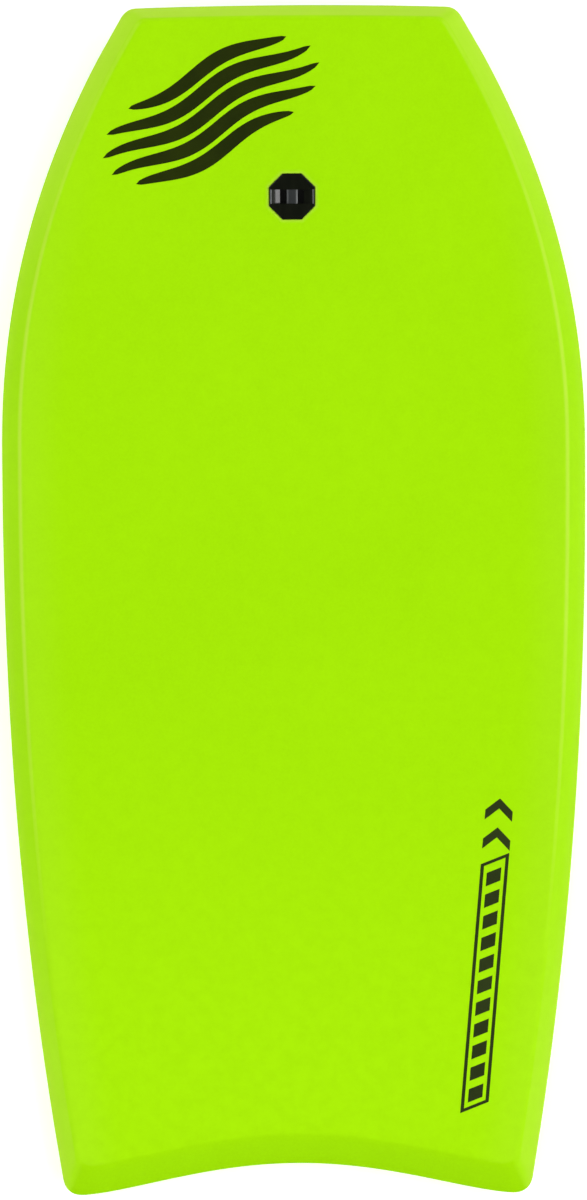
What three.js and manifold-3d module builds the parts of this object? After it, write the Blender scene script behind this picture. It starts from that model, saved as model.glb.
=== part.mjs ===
// Bodyboard: a laminated foam board with a crescent tail and a two-part screw-through leash plug.
// Units are millimetres: +X to the rider's right, +Y towards the nose, +Z up out of the deck.
// The origin is on the flat of the slick bottom, at the middle of the board's length and width.
import * as THREE from "three";
import { mergeVertices } from "three/addons/utils/BufferGeometryUtils.js";
import Module from "manifold-3d";

const wasm = await Module();
wasm.setup();

// Plan outline
const LENGTH = 1067;
const WIDTH = 524.5;
const WIDEST_Y = 137;
const NOSE_HALF_WIDTH = 146.5;
const NOSE_POWER = 2.12;
const TAIL_HALF_WIDTH = 208.7;
const TAIL_POWER = 2.2;
const NOSE_SAG = 2.3;
const NOSE_CORNER_CUT = 8.5;
const TAIL_CORNER_CUT = 15;
const CRESCENT_DEPTH = 27.6;
const CRESCENT_HALF_WIDTH = 195;
const CRESCENT_POWER = 1.6;

// Profile
const THICKNESS = 50;
const ROCKER_START_Y = 66.5;
const NOSE_ROCKER = 32;
const THINNING_START_Y = 391.5;
const NOSE_THINNING = 8;
const APEX_SHARE = 0.6;

// Plan width of the slopes above and below the apex of the rail, at each part of the edge
const UPPER_BEVEL = { side: 16.6, nose: 11, tail: 26 };
const LOWER_BEVEL = { side: 15, nose: 10, tail: 12 };

// Layers
const SKIN = 4;
const SLICK = 2;
const RAIL = 6;
const GLUE_GAP = 0.3;

// How finely each part of the half outline is divided, from the nose round to the tail. The side is
// divided at the same stations whatever the inset, so that layers lie parallel.
const NOSE_STEPS = 4;
const CORNER_STEPS = 4;
const SIDE_STEPS = 24;
const CRESCENT_STEPS = 10;
const SIDE_START_MARGIN = 46;
const SIDE_END_MARGIN = 60;

// The spine that the caps of a layer meet on stops short of both ends of the board.
const SPINE_NOSE_MARGIN = 12;
const SPINE_TAIL_MARGIN = 30;

// Butt joints of the rail strips, counted in outline steps from the middle of the nose
const NOSE_JOINT = NOSE_STEPS + CORNER_STEPS + 2;
const TAIL_JOINT = NOSE_STEPS + CORNER_STEPS + SIDE_STEPS;

// Leash plug, in its own frame: the origin is on the deck and +Z is square to the deck
const PLUG_Y = LENGTH / 2 - 172;
const FLANGE_FLATS = 41;
const FLANGE_TOP = 2;
const FLANGE_BOTTOM = -1.5;
const FLANGE_CHAMFER = 0.8;
const CAP_GASKET = 0.8;
const CAP_GASKET_RADIUS = 19.5;
const BARREL_RADIUS = 16;
const BARREL_BOTTOM = -44;
const HOLE_RADIUS = 16.5;
const POCKET_WIDTH = 12.7;
const POCKET_HALF_LENGTH = 10.8;
const POCKET_MOUTH_HALF_LENGTH = 19.25;
const POCKET_RAMP_BOTTOM = -2.7;
const POCKET_FLOOR = -12;
const SOCKET_TOP = -15;
const SOCKET_THREAD_END = -34.5;
const BAR_HALF_WIDTH = 5;
const BAR_TOP = 1;
const BAR_BOTTOM = -5;

// Round thread that joins the two halves of the plug
const PITCH = 3;
const THREAD_RADIUS = 11.15;
const THREAD_WAVE = 0.55;
const THREAD_CLEARANCE = 0.45;
const THREAD_SIDES = 24;
const ROWS_PER_PITCH = 6;

// Screw-in base of the plug
const BASE_RADIUS = 21;
const BASE_FLANGE = 3;
const BASE_RECESS_RADIUS = 21.5;
const BASE_GASKET = 1;
const BASE_GASKET_RADIUS = 20.5;
const BASE_GASKET_HOLE_RADIUS = 12.6;
const STEM_TOP = -17.3;
const STEM_THREAD_END = -35.5;
const STEM_RADIUS = 12;
const COUNTERBORE_RADIUS = 12.6;
const STEM_BORE_RADIUS = 7.5;
const STEM_BORE_FLOOR = 3;
const COIN_SLOT = { length: 22, width: 2.5, depth: 1.5 };
const ROUND_SIDES = 40;
const OCTAGON_SIDES = 8;

// How far a solid runs into one that it is joined to, or past one that it cuts
const OVERLAP = 1;

// How many times a corner of the outline is worked out again from the last result
const CORNER_PASSES = 4;

// Points nearer to each other than this are one point.
const MERGE_DISTANCE = 1e-4;

const DEG = Math.PI / 180;
const NOSE_Y = LENGTH / 2;
const TAIL_Y = -LENGTH / 2;
const STEPS = NOSE_STEPS + CORNER_STEPS + 1 + SIDE_STEPS + 1 + CORNER_STEPS + CRESCENT_STEPS;

// Outline: the side is a power curve that falls away fore and aft of the widest station.
function halfWidth(y) {
  const fore = y > WIDEST_Y;
  const end = fore ? NOSE_HALF_WIDTH : TAIL_HALF_WIDTH;
  const run = fore ? NOSE_Y - WIDEST_Y : WIDEST_Y - TAIL_Y;
  const power = fore ? NOSE_POWER : TAIL_POWER;
  return WIDTH / 2 - (WIDTH / 2 - end) * (Math.abs(y - WIDEST_Y) / run) ** power;
}

function sideX(y, inset) {
  const slope = halfWidth(y + 0.5) - halfWidth(y - 0.5);
  return halfWidth(y) - inset * Math.hypot(1, slope);
}

function noseY(x, inset) {
  return NOSE_Y - NOSE_SAG * (x / NOSE_HALF_WIDTH) ** 2 - inset;
}

function tailY(x, inset) {
  const share = Math.min(Math.abs(x) / CRESCENT_HALF_WIDTH, 1);
  return TAIL_Y + CRESCENT_DEPTH * (1 - share ** 2) ** CRESCENT_POWER + inset;
}

// The sharp corner where an end edge would meet the side, closed in on by turns along the two edges
function cornerOf(endY, sideInset, endInset) {
  let y = endY(NOSE_HALF_WIDTH, endInset);
  for (let pass = 0; pass < CORNER_PASSES; pass += 1) {
    y = endY(sideX(y, sideInset), endInset);
  }
  return new THREE.Vector2(sideX(y, sideInset), y);
}

// Right half of the outline from the middle of the nose to the middle of the tail, inset as given
function halfOutline(inset) {
  const nose = cornerOf(noseY, inset.side, inset.nose);
  const tail = cornerOf(tailY, inset.side, inset.tail);
  const noseEnd = new THREE.Vector2(nose.x - NOSE_CORNER_CUT, noseY(nose.x - NOSE_CORNER_CUT, inset.nose));
  const tailEnd = new THREE.Vector2(tail.x - TAIL_CORNER_CUT, tailY(tail.x - TAIL_CORNER_CUT, inset.tail));
  const onSide = (y) => new THREE.Vector2(sideX(y, inset.side), y);
  const sideStart = onSide(nose.y - NOSE_CORNER_CUT);
  const sideEnd = onSide(tail.y + TAIL_CORNER_CUT);
  const points = [];
  for (let i = 0; i < NOSE_STEPS; i += 1) {
    const x = (noseEnd.x * i) / NOSE_STEPS;
    points.push(new THREE.Vector2(x, noseY(x, inset.nose)));
  }
  const noseCorner = new THREE.QuadraticBezierCurve(noseEnd, nose, sideStart);
  points.push(...noseCorner.getPoints(CORNER_STEPS));
  for (let i = 0; i <= SIDE_STEPS; i += 1) {
    const share = i / SIDE_STEPS;
    points.push(onSide(THREE.MathUtils.lerp(NOSE_Y - SIDE_START_MARGIN, TAIL_Y + SIDE_END_MARGIN, share)));
  }
  const tailCorner = new THREE.QuadraticBezierCurve(sideEnd, tail, tailEnd);
  points.push(...tailCorner.getPoints(CORNER_STEPS).slice(0, CORNER_STEPS));
  for (let i = 0; i <= CRESCENT_STEPS; i += 1) {
    const x = tailEnd.x * (1 - i / CRESCENT_STEPS);
    points.push(new THREE.Vector2(x, tailY(x, inset.tail)));
  }
  return points;
}

// Heights of the board at station y
function bottomZ(y) {
  const share = Math.max(0, (y - ROCKER_START_Y) / (NOSE_Y - ROCKER_START_Y));
  return NOSE_ROCKER * share ** 2;
}

function thicknessAt(y) {
  const share = Math.max(0, (y - THINNING_START_Y) / (NOSE_Y - THINNING_START_Y));
  return THICKNESS - NOSE_THINNING * share ** 2;
}

function apexZ(y) {
  return bottomZ(y) + APEX_SHARE * thicknessAt(y);
}

function deckZ(y) {
  return bottomZ(y) + thicknessAt(y);
}

// A closed loop of points round the board, clockwise from the middle of the nose, at height z(y)
function loop(inset, heightAt) {
  const right = halfOutline(inset);
  const left = right.slice(1, -1).reverse().map((p) => new THREE.Vector2(-p.x, p.y));
  return [...right, ...left].map((p) => new THREE.Vector3(p.x, p.y, heightAt(p.y)));
}

// Adds the same horizontal inset, or one for each part of the edge
function grow(inset, more) {
  const extra = typeof more === "number" ? { side: more, nose: more, tail: more } : more;
  return { side: inset.side + extra.side, nose: inset.nose + extra.nose, tail: inset.tail + extra.tail };
}

function scaleInset(inset, share) {
  return { side: inset.side * share, nose: inset.nose * share, tail: inset.tail * share };
}

// Horizontal shift that moves a slope inwards by a thickness measured square to it
function slopeShift(bevel, rise, thickness) {
  const shift = (run) => (thickness * Math.hypot(run, rise)) / rise;
  return { side: shift(bevel.side), nose: shift(bevel.nose), tail: shift(bevel.tail) };
}

function geometryOf(positions, triangles) {
  const geometry = new THREE.BufferGeometry();
  geometry.setFromPoints(positions);
  geometry.setIndex(triangles.flat());
  return geometry;
}

// Four-cornered face a, b, c, d, listed against the clock and split along its shorter diagonal
function addFace(positions, triangles, a, b, c, d) {
  const across = (from, to) => positions[from].distanceTo(positions[to]);
  if (across(a, c) < across(b, d)) {
    triangles.push([a, b, c], [a, c, d]);
  } else {
    triangles.push([a, b, d], [b, c, d]);
  }
}

// Solid between stacked loops, lowest first: a band joins each pair, and both ends are capped through
// a spine of points on the centreline, so that the caps follow the rocker.
function stackedLoops(loops) {
  const count = loops[0].length;
  const positions = loops.flat();
  const triangles = [];
  for (let level = 0; level + 1 < loops.length; level += 1) {
    for (let i = 0; i < count; i += 1) {
      const [here, next] = [level * count + i, level * count + ((i + 1) % count)];
      addFace(positions, triangles, next, here, here + count, next + count);
    }
  }
  addCap(positions, triangles, 0, loops[0], false);
  addCap(positions, triangles, (loops.length - 1) * count, loops.at(-1), true);
  return geometryOf(positions, triangles);
}

function addCap(positions, triangles, first, ring, upward) {
  const top = ring[0].y - SPINE_NOSE_MARGIN;
  const bottom = ring[STEPS].y + SPINE_TAIL_MARGIN;
  const spine = [];
  for (let i = 0; i <= STEPS; i += 1) {
    const y = THREE.MathUtils.clamp(ring[i].y, bottom, top);
    if (i === 0 || positions.at(-1).y !== y) {
      positions.push(new THREE.Vector3(0, y, heightOnCap(ring, y)));
    }
    spine.push(positions.length - 1);
  }
  const add = (a, b, c) => triangles.push(upward ? [a, c, b] : [a, b, c]);
  for (let i = 0; i < STEPS; i += 1) {
    const right = [first + i, first + i + 1];
    const left = [first + ((2 * STEPS - i) % (2 * STEPS)), first + 2 * STEPS - i - 1];
    add(right[0], right[1], spine[i]);
    add(left[1], left[0], spine[i]);
    if (spine[i] !== spine[i + 1]) {
      add(right[1], spine[i + 1], spine[i]);
      add(spine[i + 1], left[1], spine[i]);
    }
  }
}

// Height of a ring at station y, read between its points on the right side
function heightOnCap(ring, y) {
  const below = ring.findIndex((p, i) => i > 0 && p.y <= y);
  const [a, b] = [ring[below - 1], ring[below]];
  return THREE.MathUtils.mapLinear(y, a.y, b.y, a.z, b.z);
}

// Strip with a four-cornered section that follows the edge from one outline step to another
function strip(corners, start, end) {
  const stations = [start];
  for (let i = Math.floor(start) + 1; i < end; i += 1) {
    stations.push(i);
  }
  stations.push(end);
  const sides = corners.length;
  const positions = stations.flatMap((s) => corners.map((ring) => pointOn(ring, s)));
  const triangles = [];
  for (let i = 0; i + 1 < stations.length; i += 1) {
    for (let side = 0; side < sides; side += 1) {
      const [here, next] = [i * sides + side, i * sides + ((side + 1) % sides)];
      addFace(positions, triangles, here, next, next + sides, here + sides);
    }
  }
  const last = positions.length - sides;
  for (let side = 1; side + 1 < sides; side += 1) {
    triangles.push([0, side + 1, side], [last, last + side, last + side + 1]);
  }
  return geometryOf(positions, triangles);
}

function pointOn(ring, step) {
  const low = Math.floor(step);
  const wrap = (i) => ((i % ring.length) + ring.length) % ring.length;
  return new THREE.Vector3().lerpVectors(ring[wrap(low)], ring[wrap(low + 1)], step - low);
}

// Booleans
function solidOf(geometry) {
  const plain = geometry.clone();
  plain.deleteAttribute("normal");
  plain.deleteAttribute("uv");
  const merged = mergeVertices(plain, MERGE_DISTANCE);
  const vertProperties = new Float32Array(merged.attributes.position.array);
  const triVerts = new Uint32Array(merged.index.array);
  return new wasm.Manifold(new wasm.Mesh({ numProp: 3, vertProperties, triVerts }));
}

function geometryFrom(solid) {
  const mesh = solid.getMesh();
  const geometry = new THREE.BufferGeometry();
  geometry.setAttribute("position", new THREE.BufferAttribute(new Float32Array(mesh.vertProperties), 3));
  geometry.setIndex(new THREE.BufferAttribute(new Uint32Array(mesh.triVerts), 1));
  return geometry;
}

function cut(geometry, ...tools) {
  return geometryFrom(tools.reduce((solid, tool) => solid.subtract(solidOf(tool)), solidOf(geometry)));
}

function join(geometry, ...others) {
  return geometryFrom(others.reduce((solid, other) => solid.add(solidOf(other)), solidOf(geometry)));
}

// Solid of revolution about local Z from points of [radius, z], listed from the bottom up
function turned(profile, sides) {
  const geometry = new THREE.LatheGeometry(profile.map(([r, z]) => new THREE.Vector2(r, z)), sides);
  return geometry.rotateX(90 * DEG);
}

function disc(radius, low, high, sides = ROUND_SIDES) {
  return turned([[0, low], [radius, low], [radius, high], [0, high]], sides);
}

function washer(inner, outer, low, high) {
  return turned([[inner, low], [outer, low], [outer, high], [inner, high], [inner, low]], ROUND_SIDES);
}

// Octagonal disc with flats across X and Y
function octagon(flats, low, high, chamfer) {
  const halfSide = Math.PI / OCTAGON_SIDES;
  const corner = (across) => across / 2 / Math.cos(halfSide);
  const profile = [[0, low], [corner(flats), low], [corner(flats), high - chamfer]];
  if (chamfer > 0) {
    profile.push([corner(flats - 2 * chamfer), high]);
  }
  profile.push([0, high]);
  return turned(profile, OCTAGON_SIDES).rotateZ(halfSide);
}

// Cylinder whose wall waves in and out along a right-hand helix
function threadedRod(radius, low, high) {
  const rows = Math.round(((high - low) / PITCH) * ROWS_PER_PITCH);
  const geometry = new THREE.CylinderGeometry(radius, radius, high - low, THREAD_SIDES, rows);
  geometry.rotateX(90 * DEG).translate(0, 0, (low + high) / 2);
  const position = geometry.attributes.position;
  for (let i = 0; i < position.count; i += 1) {
    const [x, y, z] = [position.getX(i), position.getY(i), position.getZ(i)];
    const distance = Math.hypot(x, y);
    if (distance > radius / 2) {
      const wave = THREAD_WAVE * Math.cos((2 * Math.PI * z) / PITCH - Math.atan2(y, x));
      position.setX(i, (x * (radius + wave)) / distance);
      position.setY(i, (y * (radius + wave)) / distance);
    }
  }
  return geometry;
}

// Leash plug
const plugSlope = Math.atan(deckZ(PLUG_Y + 0.5) - deckZ(PLUG_Y - 0.5));
const plugBottom = -thicknessAt(PLUG_Y) * Math.cos(plugSlope);
const plug = new THREE.Group();
plug.position.set(0, PLUG_Y, deckZ(PLUG_Y));
plug.rotation.x = plugSlope;
plug.updateMatrix();

const capRecessFloor = FLANGE_BOTTOM - CAP_GASKET - 2 * GLUE_GAP;
const baseTop = plugBottom + BASE_FLANGE;
const baseRecessTop = baseTop + BASE_GASKET + 2 * GLUE_GAP;

function atPlug(geometry) {
  return geometry.applyMatrix4(plug.matrix);
}

// Slot that the leash string drops into: a ramp at each end, a deep middle, and a bar left across it
function pocket() {
  const rampSlope = (FLANGE_TOP - POCKET_RAMP_BOTTOM) / (POCKET_MOUTH_HALF_LENGTH - POCKET_HALF_LENGTH);
  const mouth = POCKET_MOUTH_HALF_LENGTH + OVERLAP / rampSlope;
  const outline = new THREE.Shape();
  outline.moveTo(-mouth, FLANGE_TOP + OVERLAP);
  outline.lineTo(-POCKET_HALF_LENGTH, POCKET_RAMP_BOTTOM);
  outline.lineTo(-POCKET_HALF_LENGTH, POCKET_FLOOR);
  outline.lineTo(POCKET_HALF_LENGTH, POCKET_FLOOR);
  outline.lineTo(POCKET_HALF_LENGTH, POCKET_RAMP_BOTTOM);
  outline.lineTo(mouth, FLANGE_TOP + OVERLAP);
  const bar = new THREE.Path();
  bar.moveTo(-BAR_HALF_WIDTH, BAR_BOTTOM);
  bar.lineTo(BAR_HALF_WIDTH, BAR_BOTTOM);
  bar.lineTo(BAR_HALF_WIDTH, BAR_TOP);
  bar.lineTo(-BAR_HALF_WIDTH, BAR_TOP);
  outline.holes.push(bar);
  const geometry = new THREE.ExtrudeGeometry(outline, { depth: POCKET_WIDTH, bevelEnabled: false });
  return geometry.translate(0, 0, -POCKET_WIDTH / 2).rotateX(90 * DEG);
}

function plugCap() {
  const flange = octagon(FLANGE_FLATS, FLANGE_BOTTOM, FLANGE_TOP, FLANGE_CHAMFER);
  const barrel = disc(BARREL_RADIUS, BARREL_BOTTOM, FLANGE_BOTTOM + OVERLAP);
  const socket = threadedRod(THREAD_RADIUS + THREAD_CLEARANCE, SOCKET_THREAD_END, SOCKET_TOP);
  const counterbore = disc(COUNTERBORE_RADIUS, BARREL_BOTTOM - OVERLAP, SOCKET_THREAD_END + OVERLAP);
  return cut(join(flange, barrel), pocket(), socket, counterbore);
}

function plugBase() {
  const flange = disc(BASE_RADIUS, plugBottom, baseTop);
  const stem = disc(STEM_RADIUS, plugBottom + OVERLAP, STEM_THREAD_END);
  const thread = threadedRod(THREAD_RADIUS, STEM_THREAD_END - OVERLAP, STEM_TOP);
  const bore = disc(STEM_BORE_RADIUS, plugBottom + STEM_BORE_FLOOR, STEM_TOP + OVERLAP);
  const slot = new THREE.BoxGeometry(COIN_SLOT.length, COIN_SLOT.width, 2 * COIN_SLOT.depth);
  return cut(join(flange, stem, thread), bore, slot.translate(0, 0, plugBottom));
}

function capGasket() {
  return washer(HOLE_RADIUS, CAP_GASKET_RADIUS, capRecessFloor + GLUE_GAP, FLANGE_BOTTOM - GLUE_GAP);
}

function baseGasket() {
  return washer(BASE_GASKET_HOLE_RADIUS, BASE_GASKET_RADIUS, baseTop + GLUE_GAP, baseRecessTop - GLUE_GAP);
}

// Board layers
const NO_INSET = { side: 0, nose: 0, tail: 0 };
const upperRise = (1 - APEX_SHARE) * THICKNESS;
const lowerRise = APEX_SHARE * THICKNESS;
const skinShift = slopeShift(UPPER_BEVEL, upperRise, SKIN);
const railShift = slopeShift(LOWER_BEVEL, lowerRise, RAIL);
const innerDeckInset = grow(scaleInset(UPPER_BEVEL, 1 - SKIN / upperRise), skinShift);
const slickTopInset = scaleInset(LOWER_BEVEL, 1 - SLICK / lowerRise);
const railBottomInset = scaleInset(LOWER_BEVEL, 1 - (SLICK + GLUE_GAP) / lowerRise);

function slickTopZ(y) {
  return bottomZ(y) + SLICK;
}

function railBottomZ(y) {
  return slickTopZ(y) + GLUE_GAP;
}

function railTopZ(y) {
  return apexZ(y) - GLUE_GAP;
}

function skinUndersideZ(y) {
  return deckZ(y) - SKIN;
}

function foamCore() {
  const block = stackedLoops([
    loop(grow(grow(railBottomInset, railShift), GLUE_GAP), railBottomZ),
    loop(grow(railShift, GLUE_GAP), apexZ),
    loop(grow(skinShift, GLUE_GAP), apexZ),
    loop(grow(innerDeckInset, GLUE_GAP), (y) => skinUndersideZ(y) - GLUE_GAP),
  ]);
  const hole = atPlug(disc(HOLE_RADIUS, plugBottom - SLICK, FLANGE_TOP));
  const recess = atPlug(disc(BASE_RECESS_RADIUS, plugBottom - SLICK, baseRecessTop));
  return cut(block, hole, recess);
}

// The skin laps over the upper bevel and ends at the apex of the rail.
function deckSkin() {
  const sheet = stackedLoops([
    loop(innerDeckInset, skinUndersideZ),
    loop(skinShift, apexZ),
    loop(NO_INSET, apexZ),
    loop(UPPER_BEVEL, deckZ),
  ]);
  const hole = atPlug(disc(HOLE_RADIUS, -2 * SKIN, FLANGE_TOP));
  const recess = atPlug(octagon(FLANGE_FLATS + 2 * GLUE_GAP, capRecessFloor, FLANGE_TOP, 0));
  return cut(sheet, hole, recess);
}

function slickBottom() {
  const sheet = stackedLoops([loop(LOWER_BEVEL, bottomZ), loop(slickTopInset, slickTopZ)]);
  return cut(sheet, atPlug(disc(BASE_RECESS_RADIUS, plugBottom - SLICK, plugBottom + 2 * SLICK)));
}

// Lower rail: a strip with one section all round, which the bumpers and side rails share out
const railCorners = [
  loop(railBottomInset, railBottomZ),
  loop(NO_INSET, railTopZ),
  loop(railShift, railTopZ),
  loop(grow(railBottomInset, railShift), railBottomZ),
];

function railPiece(start, end) {
  const stepLength = railCorners[0][start].distanceTo(railCorners[0][start + 1]);
  const trim = GLUE_GAP / 2 / stepLength;
  return strip(railCorners, start + trim, end - trim);
}

// Looks
const FOAM_WHITE = { color: "#f0f0ea", roughness: 0.9, metalness: 0 };
const FOAM_LIME = { color: "#a8ec05", roughness: 0.75, metalness: 0 };
const SLICK_BLACK = { color: "#1c1e20", roughness: 0.35, metalness: 0 };
const PLASTIC_BLACK = { color: "#161816", roughness: 0.45, metalness: 0 };
const RUBBER_GREY = { color: "#3a3c3c", roughness: 0.8, metalness: 0 };

function addPiece(group, name, geometry, look) {
  const mesh = new THREE.Mesh(geometry, new THREE.MeshStandardMaterial({ ...look, flatShading: true }));
  mesh.name = name;
  group.add(mesh);
}

const board = new THREE.Group();
board.name = "bodyboard";
addPiece(board, "core", foamCore(), FOAM_WHITE);
addPiece(board, "deck_skin", deckSkin(), FOAM_LIME);
addPiece(board, "slick_bottom", slickBottom(), SLICK_BLACK);
addPiece(board, "nose_bumper", railPiece(2 * STEPS - NOSE_JOINT, 2 * STEPS + NOSE_JOINT), FOAM_LIME);
addPiece(board, "rail_right", railPiece(NOSE_JOINT, TAIL_JOINT), FOAM_LIME);
addPiece(board, "tail_bumper", railPiece(TAIL_JOINT, 2 * STEPS - TAIL_JOINT), FOAM_LIME);
addPiece(board, "rail_left", railPiece(2 * STEPS - TAIL_JOINT, 2 * STEPS - NOSE_JOINT), FOAM_LIME);
addPiece(plug, "leash_plug_cap", plugCap(), PLASTIC_BLACK);
addPiece(plug, "leash_plug_base", plugBase(), PLASTIC_BLACK);
addPiece(plug, "cap_gasket", capGasket(), RUBBER_GREY);
addPiece(plug, "base_gasket", baseGasket(), RUBBER_GREY);
board.add(plug);

export default board;
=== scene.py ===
import math

import bmesh
import bpy
import numpy as np
from mathutils import Matrix, Vector, noise
from mathutils.geometry import delaunay_2d_cdt


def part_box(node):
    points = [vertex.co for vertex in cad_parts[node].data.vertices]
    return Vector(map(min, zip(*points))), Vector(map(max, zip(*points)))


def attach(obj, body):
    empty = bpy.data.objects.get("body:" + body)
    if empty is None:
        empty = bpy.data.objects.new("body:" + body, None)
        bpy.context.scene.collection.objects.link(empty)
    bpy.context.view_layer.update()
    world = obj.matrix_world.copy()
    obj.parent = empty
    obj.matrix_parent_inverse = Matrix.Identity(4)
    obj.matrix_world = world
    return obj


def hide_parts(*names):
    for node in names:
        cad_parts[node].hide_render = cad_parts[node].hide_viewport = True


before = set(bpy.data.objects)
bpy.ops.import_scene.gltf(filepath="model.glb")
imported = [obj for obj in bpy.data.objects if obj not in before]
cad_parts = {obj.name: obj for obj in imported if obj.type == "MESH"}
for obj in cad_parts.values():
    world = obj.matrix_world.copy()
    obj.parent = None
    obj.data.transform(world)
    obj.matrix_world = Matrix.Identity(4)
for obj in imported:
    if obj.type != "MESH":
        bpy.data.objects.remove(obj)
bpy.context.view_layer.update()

# A bodyboard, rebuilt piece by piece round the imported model. Metres: +Y is the nose, +Z is out of the deck.

MM = 0.001
DEG = math.pi / 180

# Plan outline, from the frame and the same driving dimensions as the model
skin_low, skin_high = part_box("deck_skin")
NOSE_Y = skin_high.y
TAIL_Y = -skin_high.y
HALF_WIDTH = skin_high.x
WIDEST_Y = 137 * MM
NOSE_HALF_WIDTH = 146.5 * MM
NOSE_POWER = 2.12
TAIL_HALF_WIDTH = 208.7 * MM
TAIL_POWER = 2.2
NOSE_SAG = 2.3 * MM
NOSE_CORNER_CUT = 8.5 * MM
TAIL_CORNER_CUT = 15 * MM
CRESCENT_DEPTH = 27.6 * MM
CRESCENT_HALF_WIDTH = 195 * MM
CRESCENT_POWER = 1.6

# Profile
APEX_SHARE = 0.6
THICKNESS = skin_low.z / APEX_SHARE
ROCKER_START_Y = 66.5 * MM
NOSE_ROCKER = 32 * MM
THINNING_START_Y = 391.5 * MM
NOSE_THINNING = 8 * MM

# Plan width of the slopes above and below the apex: at the sides, the nose and the tail
UPPER_BEVEL = np.array([16.6, 11, 26]) * MM
LOWER_BEVEL = np.array([15, 10, 12]) * MM
NO_INSET = np.zeros(3)

# Layers
SKIN = 4 * MM
SLICK = 2 * MM
RAIL = 6 * MM
GLUE_GAP = 0.3 * MM
DECK_ROUND = 4.5 * MM
LIP_ROUND = 1.6 * MM
SLICK_ROUND = 1 * MM
DECK_WAVE = 0.12 * MM
DECK_WAVE_LENGTH = 90 * MM

# How finely each part of the half outline is divided
NOSE_STEPS = 24
CORNER_STEPS = 10
CORNER_PASSES = 5
SIDE_STEPS = 150
CRESCENT_STEPS = 56
SIDE_START_MARGIN = 46 * MM
SIDE_END_MARGIN = 60 * MM
STEPS = NOSE_STEPS + CORNER_STEPS + 1 + SIDE_STEPS + 1 + CORNER_STEPS + CRESCENT_STEPS

# Stations of the butt joints between rail strips
NOSE_JOINT_Y = 447 * MM
TAIL_JOINT_Y = -433 * MM

# Leash plug, in its own frame on the deck
PLUG_Y = NOSE_Y - 172 * MM
FLANGE_FLATS = 41 * MM
FLANGE_TOP = 2 * MM
FLANGE_BOTTOM = -1.5 * MM
FLANGE_CHAMFER = 0.5 * MM
CAP_GASKET = 0.8 * MM
CAP_GASKET_RADIUS = 19.5 * MM
BARREL_RADIUS = 16 * MM
BARREL_BOTTOM = -44 * MM
HOLE_RADIUS = 16.5 * MM
POCKET_WIDTH = 12.7 * MM
POCKET_HALF_LENGTH = 10.8 * MM
POCKET_MOUTH_HALF_LENGTH = 19.1 * MM
POCKET_RAMP_BOTTOM = -3.1 * MM
RAMP_STEP = 2.9 * MM
RAMP_TILTS = (27 * DEG, 30 * DEG)
MOUTH_FACET = 0.7 * MM
MOUTH_SLOPE = 0.36
POCKET_FLOOR = -12 * MM
SOCKET_TOP = -15 * MM
SOCKET_THREAD_END = -34.5 * MM
BAR_HALF_WIDTH = 5 * MM
BAR_TOP = 1 * MM
BAR_BOTTOM = -5 * MM
BAR_CROWN = 6 * DEG
BAR_STEPS = 7
BAR_FACET = 0.9 * MM
BAR_FACET_TILT = 29 * DEG
PITCH = 3 * MM
THREAD_RADIUS = 11.15 * MM
THREAD_WAVE = 0.55 * MM
THREAD_CLEARANCE = 0.45 * MM
BASE_RADIUS = 21 * MM
BASE_FLANGE = 3 * MM
BASE_RECESS_RADIUS = 21.5 * MM
BASE_GASKET = 1 * MM
BASE_GASKET_RADIUS = 20.5 * MM
BASE_GASKET_HOLE_RADIUS = 12.6 * MM
STEM_TOP = -17.3 * MM
STEM_THREAD_END = -35.5 * MM
STEM_RADIUS = 12 * MM
COUNTERBORE_RADIUS = 12.6 * MM
STEM_BORE_RADIUS = 7.5 * MM
STEM_BORE_FLOOR = 3 * MM
STEM_RELIEF = 0.25 * MM
THREAD_RUN_OUT = 1 * MM
LEAD_IN_HEIGHT = 0.4 * MM
LEAD_IN_LOW = 0.3 * MM
LEAD_IN_HIGH = 0.9 * MM
HUB_RADIUS = 2 * MM
COIN_SLOT = (22 * MM, 2.5 * MM, 1.5 * MM)
BASE_EASE = 0.5 * MM
PLASTIC_EASE = 0.35 * MM
BAR_TOP_REACH = 0.6 * MM
HIGHLIGHT_TILT = 3 * DEG
CROWN_MARGIN = 1 * DEG
DULL_FINISH = 1
PAINTED_HIGHLIGHT_FINISH = 2
WASHER_EASE = 0.2 * MM
BAR_LET_IN = 1 * MM
CUT_PAST = 1 * MM
CUT_OVERLAP = 0.5 * MM
EASE_SEGMENTS = 3
EASE_ANGLE = 30 * DEG
ROUND_STEPS = 96
EASE_STEPS = 4
ROWS_PER_PITCH = 12

# Dish of the deck foam round the plug's flange, and the rings of points that shape it
DISH_DEPTH = 0.3 * MM
DISH_REACH = 2.5 * MM
DISH_RINGS = (0.8 * MM, 2 * MM, 3.5 * MM, 5.5 * MM, 8 * MM)

# Rings across each rounded edge, and the spacing of points inside the large faces
LIP_STEPS = 5
SLOPE_STEPS = 7
DECK_ROUND_STEPS = 8
DECK_SPACING = 7 * MM
HIDDEN_SPACING = 20 * MM
SLICK_EASE = 0.6 * MM
END_EASE = 0.6 * MM
END_SHRINK = 0.05
WELD = 0.002 * MM
TINY = 0.0001 * MM
SHARP_ANGLE = 35 * DEG
EDGE_CLEARANCE = 0.6
HOLE_CLEARANCE = 0.5
POINTS_AT_ONCE = 2000

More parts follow.
